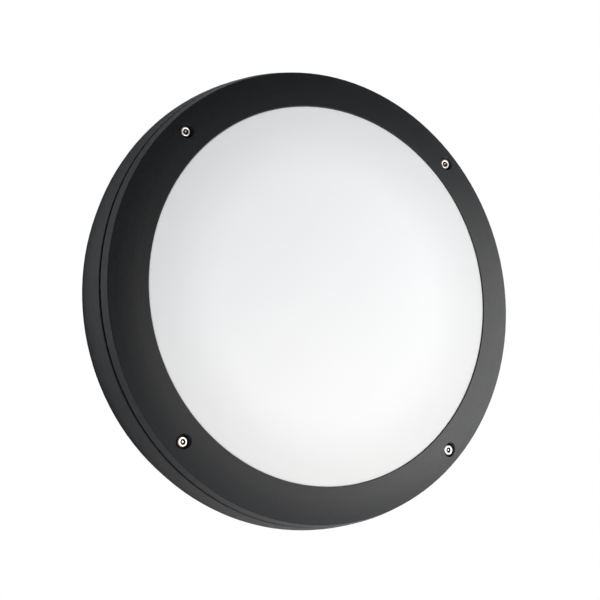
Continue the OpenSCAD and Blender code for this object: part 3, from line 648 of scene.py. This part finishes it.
def circle_pattern():
    """Tree that sets copies of an object on a circle that faces -Y, each turned by a fixed seed."""
    found = bpy.data.node_groups.get("Circle pattern")
    if found:
        return found
    tree, given, result = pattern_tree(
        "Circle pattern",
        [
            ("Object", "NodeSocketObject"), ("Count", "NodeSocketInt"), ("Radius", "NodeSocketFloat"),
            ("First angle", "NodeSocketFloat"), ("Centre", "NodeSocketVector"),
            ("Turn over", "NodeSocketFloat"), ("Seed", "NodeSocketInt"), ("Material", "NodeSocketMaterial"),
        ],
    )
    number = add(tree, "GeometryNodeInputIndex").outputs[0]
    step = add(tree, "ShaderNodeMath", {0: -2 * math.pi, 1: given["Count"]}, operation="DIVIDE")
    first = add(tree, "ShaderNodeMath", {0: given["First angle"], 1: -1.0}, operation="MULTIPLY")
    angle = add(
        tree, "ShaderNodeMath", {0: number, 1: step.outputs[0], 2: first.outputs[0]}, operation="MULTIPLY_ADD"
    )
    arm = add(tree, "ShaderNodeCombineXYZ", {"X": given["Radius"]})
    turn = add(tree, "ShaderNodeCombineXYZ", {"Y": angle.outputs[0]})
    chance = add(tree, "FunctionNodeRandomValue", {3: 2 * math.pi, "Seed": given["Seed"]}, data_type="FLOAT")
    twist = add(tree, "ShaderNodeCombineXYZ", {"X": given["Turn over"], "Y": chance.outputs[1]})
    real = copies_round(
        tree, given["Count"], arm.outputs[0], turn.outputs[0], given["Object"], twist.outputs[0],
        offset=given["Centre"],
    )
    coated = add(tree, "GeometryNodeSetMaterial", {"Geometry": real, "Material": given["Material"]})
    tree.links.new(coated.outputs[0], result.inputs["Geometry"])
    return tree


def chip_pattern():
    """Tree that sets LED chips on rings that face -Y, with more chips on each ring outwards."""
    tree, given, result = pattern_tree(
        "Chip rings",
        [
            ("Chip", "NodeSocketObject"), ("Rings", "NodeSocketInt"), ("Chips per ring", "NodeSocketInt"),
            ("First radius", "NodeSocketFloat"), ("Ring step", "NodeSocketFloat"),
            ("Height", "NodeSocketFloat"), ("Body", "NodeSocketMaterial"), ("Window", "NodeSocketMaterial"),
        ],
    )
    # The rings hold 1, 2, 3 and so on blocks of chips, so n rings hold n (n + 1) / 2 blocks.
    per_block = given["Chips per ring"]
    top = add(tree, "ShaderNodeMath", {0: given["Rings"], 1: 1.0}, operation="ADD")
    whole = add(tree, "ShaderNodeMath", {0: top.outputs[0], 1: given["Rings"]}, operation="MULTIPLY")
    half = add(tree, "ShaderNodeMath", {0: whole.outputs[0], 1: 0.5}, operation="MULTIPLY")
    count = add(tree, "ShaderNodeMath", {0: half.outputs[0], 1: per_block}, operation="MULTIPLY")
    # Block number b lies on the ring whose number is (sqrt(8 b + 1) - 1) / 2 rounded down.
    # The last term is a little above -1/2, so that a whole number isn't rounded to the ring before it.
    number = add(tree, "GeometryNodeInputIndex").outputs[0]
    block = add(tree, "ShaderNodeMath", {0: number, 1: per_block}, operation="DIVIDE")
    block = add(tree, "ShaderNodeMath", {0: block.outputs[0]}, operation="FLOOR")
    eightfold = add(tree, "ShaderNodeMath", {0: block.outputs[0], 1: 8.0, 2: 1.0}, operation="MULTIPLY_ADD")
    root = add(tree, "ShaderNodeMath", {0: eightfold.outputs[0], 1: 0.5}, operation="POWER")
    ring = add(tree, "ShaderNodeMath", {0: root.outputs[0], 1: 0.5, 2: -0.499}, operation="MULTIPLY_ADD")
    ring = add(tree, "ShaderNodeMath", {0: ring.outputs[0]}, operation="FLOOR").outputs[0]
    # A chip's share of its ring follows from how many chips the rings before it hold.
    more = add(tree, "ShaderNodeMath", {0: ring, 1: 1.0}, operation="ADD").outputs[0]
    before = add(tree, "ShaderNodeMath", {0: ring, 1: more}, operation="MULTIPLY")
    before = add(tree, "ShaderNodeMath", {0: before.outputs[0], 1: 0.5}, operation="MULTIPLY")
    before = add(tree, "ShaderNodeMath", {0: before.outputs[0], 1: per_block}, operation="MULTIPLY")
    within = add(tree, "ShaderNodeMath", {0: number, 1: before.outputs[0]}, operation="SUBTRACT")
    within = add(tree, "ShaderNodeMath", {0: within.outputs[0], 1: 0.5}, operation="ADD")
    in_ring = add(tree, "ShaderNodeMath", {0: more, 1: per_block}, operation="MULTIPLY")
    share = add(tree, "ShaderNodeMath", {0: within.outputs[0], 1: in_ring.outputs[0]}, operation="DIVIDE")
    angle = add(tree, "ShaderNodeMath", {0: share.outputs[0], 1: -2 * math.pi}, operation="MULTIPLY")
    radius = add(
        tree, "ShaderNodeMath", {0: ring, 1: given["Ring step"], 2: given["First radius"]},
        operation="MULTIPLY_ADD",
    )
    arm = add(tree, "ShaderNodeCombineXYZ", {"X": radius.outputs[0], "Y": given["Height"]})
    turn = add(tree, "ShaderNodeCombineXYZ", {"Y": angle.outputs[0]})
    real = copies_round(
        tree, count.outputs[0], arm.outputs[0], turn.outputs[0], given["Chip"], turn.outputs[0]
    )
    body = add(tree, "GeometryNodeSetMaterial", {"Geometry": real, "Material": given["Body"]})
    window = add(tree, "GeometryNodeInputNamedAttribute", {"Name": CHIP_WINDOW}, data_type="BOOLEAN")
    glazed = add(
        tree, "GeometryNodeSetMaterial",
        {"Geometry": body.outputs[0], "Selection": window.outputs["Attribute"], "Material": given["Window"]},
    )
    tree.links.new(glazed.outputs[0], result.inputs["Geometry"])
    return tree


def grow(name, tree, values):
    """Plain mesh that a Geometry Nodes tree makes from these inputs."""
    holder = bpy.data.objects.new(name, bpy.data.meshes.new(name + "_seed"))
    bpy.context.scene.collection.objects.link(holder)
    modifier = holder.modifiers.new("Pattern", "NODES")
    modifier.node_group = tree
    for label, value in values.items():
        modifier[socket_of(tree, label)] = value
    graph = bpy.context.evaluated_depsgraph_get()
    mesh = bpy.data.meshes.new_from_object(holder.evaluated_get(graph), depsgraph=graph)
    holder.modifiers.remove(modifier)
    bpy.data.objects.remove(holder)
    if not mesh.polygons:
        raise RuntimeError(f"{name}: the pattern made no faces")
    mesh.name = name
    return mesh


def screw_circle(name, node, mesh, slot, count, radius, first_angle, centre, turn_over=False, seed=0):
    """Replaces a CAD node of screws by copies of one detailed screw."""
    single = bpy.data.objects.new(name + "_single", mesh)
    made = grow(
        name, circle_pattern(),
        {
            "Object": single, "Count": count, "Radius": radius, "First angle": first_angle, "Centre": centre,
            "Turn over": math.pi if turn_over else 0.0, "Seed": seed, "Material": finish(slot),
        },
    )
    bpy.data.objects.remove(single)
    return place_piece(name, made, slot, node)


class WALLLIGHT_OT_castings(bpy.types.Operator):
    """Coats the base casting and the bezel ring"""

    bl_idname = "wall_light.castings"
    bl_label = "Castings"

    def execute(self, context):
        smooth_copy("base_casting", "base_casting_coated", "powder_coat", turned=True)
        smooth_copy("bezel_ring", "bezel_ring_coated", "powder_coat", turned=True, edge=LIP_EDGE)
        return {"FINISHED"}


class WALLLIGHT_OT_diffuser(bpy.types.Operator):
    """Makes the opal diffuser and the clips that hold it"""

    bl_idname = "wall_light.diffuser"
    bl_label = "Diffuser"

    def execute(self, context):
        smooth_copy("diffuser", "opal_diffuser", "opal", sharp=40, turned=True, edge=RIM_EDGE)
        smooth_copy("diffuser_clips", "steel_clips", "stainless")
        return {"FINISHED"}


class WALLLIGHT_OT_bezel_screws(bpy.types.Operator):
    """Sets the sunk socket screws of the bezel"""

    bl_idname = "wall_light.bezel_screws"
    bl_label = "Bezel screws"

    def execute(self, context):
        s = context.scene.wall_light_fittings
        low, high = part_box("bezel_screws")
        seat = low.y + s.bezel_head_h
        mesh = screw_mesh(
            "bezel_screw", s.bezel_head, s.bezel_head_h,
            socket_w=s.bezel_socket, socket_h=0.6 * s.bezel_head_h, pin_d=s.bezel_pin,
            shank_d=s.bezel_shank, shank_l=high.y - seat, pitch=s.pitch,
        )
        radius = (high.x - s.bezel_head / 2) * math.sqrt(2)
        screw_circle(
            "pin_socket_screws", "bezel_screws", mesh, "stainless", count=4, radius=radius,
            first_angle=math.pi / 4, centre=(0, seat, 0), seed=5,
        )
        return {"FINISHED"}


class WALLLIGHT_OT_gear_screws(bpy.types.Operator):
    """Sets the pan-head screws inside the light"""

    bl_idname = "wall_light.gear_screws"
    bl_label = "Gear screws"

    def execute(self, context):
        s = context.scene.wall_light_fittings
        low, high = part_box("gear_tray_screws")
        seat = low.y + s.tray_head_h
        mesh = screw_mesh(
            "tray_screw", s.tray_head, s.tray_head_h,
            socket_w=s.tray_head / 3, socket_h=s.tray_head_h / 2,
            shank_d=s.tray_shank, shank_l=high.y - seat, pitch=s.pitch,
        )
        screw_circle(
            "tray_pan_screws", "gear_tray_screws", mesh, "stainless", count=4,
            radius=high.x - s.tray_head / 2, first_angle=0, centre=(0, seat, 0), seed=1,
        )
        for number, (node, count, first_angle, behind) in enumerate(
            (
                ("led_board_screws", 5, math.pi / 2, False),
                ("terminal_block_screws", 2, 0, False),
                ("diffuser_clip_screws", 6, 0, True),
                ("driver_screws", 2, 0, True),
            )
        ):
            low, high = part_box(node)
            seat = high.y - s.small_head_h if behind else low.y + s.small_head_h
            length = seat - low.y if behind else high.y - seat
            mesh = screw_mesh(
                node + "_one", s.small_head, s.small_head_h,
                socket_w=0.36 * s.small_head, socket_h=s.small_head_h / 2,
                shank_d=s.small_shank, shank_l=length, pitch=s.small_pitch,
            )
            middle = 0.0 if count > 2 else (low.z + high.z) / 2
            reach = high.z if first_angle else high.x
            screw_circle(
                node.replace("_screws", "_pan_screws"), node, mesh, "stainless", count,
                radius=reach - s.small_head / 2, first_angle=first_angle, centre=(0, seat, middle),
                turn_over=behind, seed=number + 2,
            )
        return {"FINISHED"}


class WALLLIGHT_OT_seals(bpy.types.Operator):
    """Makes the gaskets, sealing washers and grommets"""

    bl_idname = "wall_light.seals"
    bl_label = "Seals"

    def execute(self, context):
        for node in ("base_gasket", "bezel_screw_seals", "diffuser_gasket", "cable_grommet", "tray_grommet"):
            smooth_copy(node, node + "_rubber", "black_rubber")
        return {"FINISHED"}


class WALLLIGHT_OT_gear_tray(bpy.types.Operator):
    """Makes the white gear tray"""

    bl_idname = "wall_light.gear_tray"
    bl_label = "Gear tray"

    def execute(self, context):
        smooth_copy("gear_tray", "gear_tray_coated", "white_steel", sharp=15)
        return {"FINISHED"}


class WALLLIGHT_OT_led_board(bpy.types.Operator):
    """Makes the LED board with its chips and connector"""

    bl_idname = "wall_light.led_board"
    bl_label = "LED board"

    def execute(self, context):
        s = context.scene.wall_light_fittings
        smooth_copy("led_board", "led_board_masked", "board_white")
        smooth_copy("board_connector", "board_connector_moulded", "white_plastic")
        first, last = self.ring_radii(s)
        chip = bpy.data.objects.new("chip_single", self.chip_mesh(s))
        mesh = grow(
            "led_chip_rings", chip_pattern(),
            {
                "Chip": chip, "Rings": s.chip_rings, "Chips per ring": s.chips_per_ring,
                "First radius": first, "Ring step": (last - first) / max(s.chip_rings - 1, 1),
                "Height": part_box("led_chips")[1].y,
                "Body": finish("white_plastic"), "Window": finish("phosphor"),
            },
        )
        bpy.data.objects.remove(chip)
        place_piece("led_chip_rings", mesh, "phosphor", "led_chips")
        return {"FINISHED"}

    def ring_radii(self, s):
        """Radii of the inner and outer ring, from the nearest and farthest corners of the chips."""
        corners = [math.hypot(v.co.x, v.co.z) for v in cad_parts["led_chips"].data.vertices]
        near, far = (math.sqrt(corner**2 - (s.chip_l / 2) ** 2) for corner in (min(corners), max(corners)))
        return near + s.chip_w / 2, far - s.chip_w / 2

    def chip_mesh(self, s, sides=12):
        """Moulded body on Y = 0 that rises towards -Y, with a round window in its top."""
        shape = bmesh.new()
        window = shape.faces.layers.bool.new(CHIP_WINDOW)
        top, shoulder, window_floor = -s.chip_h, -0.85 * s.chip_h, -0.8 * s.chip_h
        bevel = 0.06 * s.chip_w
        window_r, window_floor_r = 0.42 * s.chip_w, 0.36 * s.chip_w
        rings = []
        for height, inset in ((0.0, 0.0), (shoulder, 0.0), (top, bevel)):
            rings.append(add_ring(shape, self.body_points(s, height, inset, sides)))
        for radius, height in ((window_r, top), (window_floor_r, window_floor)):
            rings.append(add_ring(shape, ring_points(radius, height, sides, start=0.5)))
        join_rings(shape, rings)
        shape.faces.new(rings[0])
        shape.faces.new(rings[-1])[window] = True
        bmesh.ops.recalc_face_normals(shape, faces=shape.faces)
        return mesh_of(shape, "led_chip")

    def body_points(self, s, height, inset, sides):
        """Points round the chip's oblong body, drawn in by an inset."""
        half_w, half_l = s.chip_w / 2, s.chip_l / 2
        points = []
        for i in range(sides):
            a = 2 * math.pi * (i + 0.5) / sides
            reach = 1 / max(abs(math.cos(a)), abs(math.sin(a)))
            x = max(inset - half_w, min(half_w - inset, half_w * math.cos(a) * reach))
            z = max(inset - half_l, min(half_l - inset, half_l * math.sin(a) * reach))
            points.append((x, height, z))
        return points


class WALLLIGHT_OT_driver(bpy.types.Operator):
    """Makes the LED driver's case and lid"""

    bl_idname = "wall_light.driver"
    bl_label = "Driver"

    def execute(self, context):
        smooth_copy("driver_case", "driver_case_moulded", "white_plastic")
        smooth_copy("driver_lid", "driver_lid_moulded", "white_plastic")
        return {"FINISHED"}


class WALLLIGHT_OT_terminals(bpy.types.Operator):
    """Makes the mains terminal block and the earth point"""

    bl_idname = "wall_light.terminals"
    bl_label = "Terminals"

    def execute(self, context):
        smooth_copy("terminal_block", "terminal_block_moulded", "white_plastic")
        for node in ("terminal_screws", "earth_screw", "earth_tag"):
            smooth_copy(node, node + "_brass", "brass")
        smooth_copy("earth_washer", "earth_washer_steel", "stainless")
        return {"FINISHED"}


class WALLLIGHT_OT_leads(bpy.types.Operator):
    """Makes the five inner leads"""

    bl_idname = "wall_light.leads"
    bl_label = "Leads"

    def execute(self, context):
        for node, slot in (
            ("live_lead", "brown_pvc"), ("neutral_lead", "blue_pvc"), ("earth_lead", "green_yellow_pvc"),
            ("positive_lead", "red_pvc"), ("negative_lead", "black_pvc"),
        ):
            piece = smooth_copy(node, node + "_pvc", slot, sharp=60)
            soft = piece.modifiers.new("Round section", "SUBSURF")
            soft.levels = soft.render_levels = 1
        return {"FINISHED"}


# Soft boxes: azimuth and elevation in degrees and distance in metres, size in metres, power in watts, colour,
# and whether reflections show the box.
LAMPS = (
    ("key", (64, -2, 1.1), (0.95, 0.7), 5.0, "#ffffff", True),
    ("key_low", (45, -18, 1.1), (0.9, 0.4), 2.9, "#fffdfa", True),
    ("key_up", (60, 18, 1.1), (0.7, 0.3), 0.5, "#ffffff", True),
    ("front", (14, -3, 1.1), (0.7, 0.35), 3.5, "#fffcf4", True),
    ("low_front", (5, -45, 0.65), (0.6, 0.2), 0.28, "#ffc080", False),
    ("back", (-128, 10, 1.2), (0.7, 0.7), 3.0, "#ffffff", True),
)
# White patch that the flat screw heads mirror: azimuth and elevation of its middle, and the angles from there
# at which it starts and is full, all in degrees.
PATCH_MIDDLE = (24, 0)
PATCH_START, PATCH_FULL = 28, 9
# Share of full white that the floor gives to the camera by itself.
FLOOR_GLOW = 0.8
# Tone of the painted shadow on the card next to the light, as a share of its colour.
CARD_SHADE_TONE = 0.15


def towards(azimuth, elevation):
    """Unit vector from the light to a place round it, both in degrees."""
    a, e = math.radians(azimuth), math.radians(elevation)
    return Vector((math.sin(a) * math.cos(e), -math.cos(a) * math.cos(e), math.sin(e)))


def aim_at(holder, target, azimuth, elevation, distance):
    """Sets a lamp or camera at a distance from a target, turned to face it."""
    back = towards(azimuth, elevation)
    holder.location = target + back * distance
    holder.rotation_euler = back.to_track_quat("Z", "Y").to_euler()


def place_on_stage(name, mesh, paint):
    """Puts a painted mesh into the scene that isn't part of the light."""
    mesh.materials.append(paint)
    piece = bpy.data.objects.new(name, mesh)
    bpy.context.scene.collection.objects.link(piece)
    return piece


class WALLLIGHT_OT_stage(bpy.types.Operator):
    """Sets the floor, the lamps, the white background and the camera"""

    bl_idname = "wall_light.stage"
    bl_label = "Stage"

    def execute(self, context):
        s = context.scene.wall_light_stage
        self.set_floor(s)
        self.set_card(s)
        self.set_world(context.scene, s)
        self.set_lamps()
        self.set_camera(context.scene, s)
        context.scene.view_settings.view_transform = "Standard"
        return {"FINISHED"}

    def set_floor(self, s):
        shape = bmesh.new()
        bmesh.ops.create_grid(shape, x_segments=1, y_segments=1, size=s.floor_reach)
        mesh = mesh_of(shape, "floor")
        mesh.transform(Matrix.Translation((0, 0, -s.floor_drop)))
        paint = pale_paint("pale_floor", s.floor, roughness=(0.6, 0.7))
        glow_to_camera(paint, s.floor, FLOOR_GLOW)
        place_on_stage("floor", mesh, paint)

    def set_card(self, s):
        """White card round the back of the light, like the wall it hangs on, that only reflections show."""
        shape = bmesh.new()
        lathe(shape, [(s.card_reach, 0.0), (s.card_hole, 0.0)], sides=96)
        mesh = mesh_of(shape, "white_card")
        paper = pale_paint("white_card", s.floor, roughness=(0.7, 0.8))
        # The card is painted darker next to the light, as a painted contact shadow.
        shade_outwards(paper, (s.card_hole, s.card_hole + s.card_shade), (CARD_SHADE_TONE, 1.0))
        card = place_on_stage("white_card", mesh, paper)
        card.visible_camera = card.visible_shadow = card.visible_diffuse = card.visible_transmission = False

    def set_world(self, scene, s):
        """White behind the object, a dim room with a white patch in reflections, and an even soft light."""
        scene.world = bpy.data.worlds.new("studio")
        scene.world.use_nodes = True
        # The world isn't sampled as a lamp, so each kind of ray meets the colour that is meant for it.
        scene.world.cycles.sampling_method = "NONE"
        tree = scene.world.node_tree
        tree.nodes.clear()
        path = add(tree, "ShaderNodeLightPath").outputs
        seen = add(
            tree, "ShaderNodeMath", {0: path["Is Camera Ray"], 1: path["Is Transmission Ray"]},
            operation="MAXIMUM",
        )
        facing = add(
            tree, "ShaderNodeVectorMath",
            {0: add(tree, "ShaderNodeTexCoord").outputs["Generated"], 1: towards(*PATCH_MIDDLE)},
            operation="DOT_PRODUCT",
        )
        patch = add(
            tree, "ShaderNodeMapRange",
            {
                "Value": facing.outputs["Value"], "From Min": math.cos(math.radians(PATCH_START)),
                "From Max": math.cos(math.radians(PATCH_FULL)),
            },
        )
        room = add(
            tree, "ShaderNodeMix", {FACTOR: patch.outputs["Result"], FIRST: s.surroundings, SECOND: WHITE},
            data_type="RGBA",
        )
        mirrored = add(
            tree, "ShaderNodeMix",
            {FACTOR: path["Is Glossy Ray"], FIRST: s.ambient, SECOND: room.outputs[MIXED]}, data_type="RGBA",
        )
        colour = add(
            tree, "ShaderNodeMix", {FACTOR: seen.outputs[0], FIRST: mirrored.outputs[MIXED], SECOND: WHITE},
            data_type="RGBA",
        )
        light = add(tree, "ShaderNodeBackground", {"Color": colour.outputs[MIXED], "Strength": 1.0})
        add(tree, "ShaderNodeOutputWorld", {"Surface": light.outputs[0]})

    def set_lamps(self):
        for name, (azimuth, elevation, distance), size, power, colour, mirrored in LAMPS:
            lamp = bpy.data.lights.new(name, "AREA")
            lamp.shape = "RECTANGLE"
            lamp.size, lamp.size_y = size
            lamp.energy = power
            lamp.color = linear(colour)[:3]
            holder = bpy.data.objects.new(name, lamp)
            aim_at(holder, Vector((0, 0, 0)), azimuth, elevation, distance)
            holder.visible_camera = False
            holder.visible_glossy = mirrored
            bpy.context.scene.collection.objects.link(holder)

    def set_camera(self, scene, s):
        lens = bpy.data.cameras.new("photo_view")
        lens.lens = s.lens
        lens.sensor_width = s.sensor
        camera = bpy.data.objects.new("photo_view", lens)
        azimuth, elevation = math.degrees(s.azimuth), math.degrees(s.elevation)
        aim_at(camera, Vector(s.target), azimuth, elevation, s.distance)
        scene.collection.objects.link(camera)
        scene.camera = camera


OPERATORS = (
    WALLLIGHT_OT_castings,
    WALLLIGHT_OT_diffuser,
    WALLLIGHT_OT_bezel_screws,
    WALLLIGHT_OT_gear_screws,
    WALLLIGHT_OT_seals,
    WALLLIGHT_OT_gear_tray,
    WALLLIGHT_OT_led_board,
    WALLLIGHT_OT_driver,
    WALLLIGHT_OT_terminals,
    WALLLIGHT_OT_leads,
    WALLLIGHT_OT_stage,
)


class WALLLIGHT_PT_panel(bpy.types.Panel):
    """Lists the steps that dress the wall light"""

    bl_idname = "WALLLIGHT_PT_panel"
    bl_label = "Wall light"
    bl_space_type = "VIEW_3D"
    bl_region_type = "UI"
    bl_category = "Wall light"

    def draw(self, context):
        for operator in OPERATORS:
            self.layout.operator(operator.bl_idname)
        scene = context.scene
        for settings in (scene.wall_light_finishes, scene.wall_light_fittings, scene.wall_light_stage):
            box = self.layout.box()
            for key in settings.bl_rna.properties.keys():
                if key not in ("name", "rna_type"):
                    box.prop(settings, key)


CLASSES = (FinishSettings, FittingSettings, StageSettings, *OPERATORS, WALLLIGHT_PT_panel)


def register():
    for cls in CLASSES:
        bpy.utils.register_class(cls)
    bpy.types.Scene.wall_light_finishes = PointerProperty(type=FinishSettings)
    bpy.types.Scene.wall_light_fittings = PointerProperty(type=FittingSettings)
    bpy.types.Scene.wall_light_stage = PointerProperty(type=StageSettings)


def unregister():
    del bpy.types.Scene.wall_light_stage
    del bpy.types.Scene.wall_light_fittings
    del bpy.types.Scene.wall_light_finishes
    for cls in reversed(CLASSES):
        bpy.utils.unregister_class(cls)


def main():
    register()
    for operator in OPERATORS:
        group, name = operator.bl_idname.split(".")
        getattr(getattr(bpy.ops, group), name)()


if __name__ == "__main__":
    main()
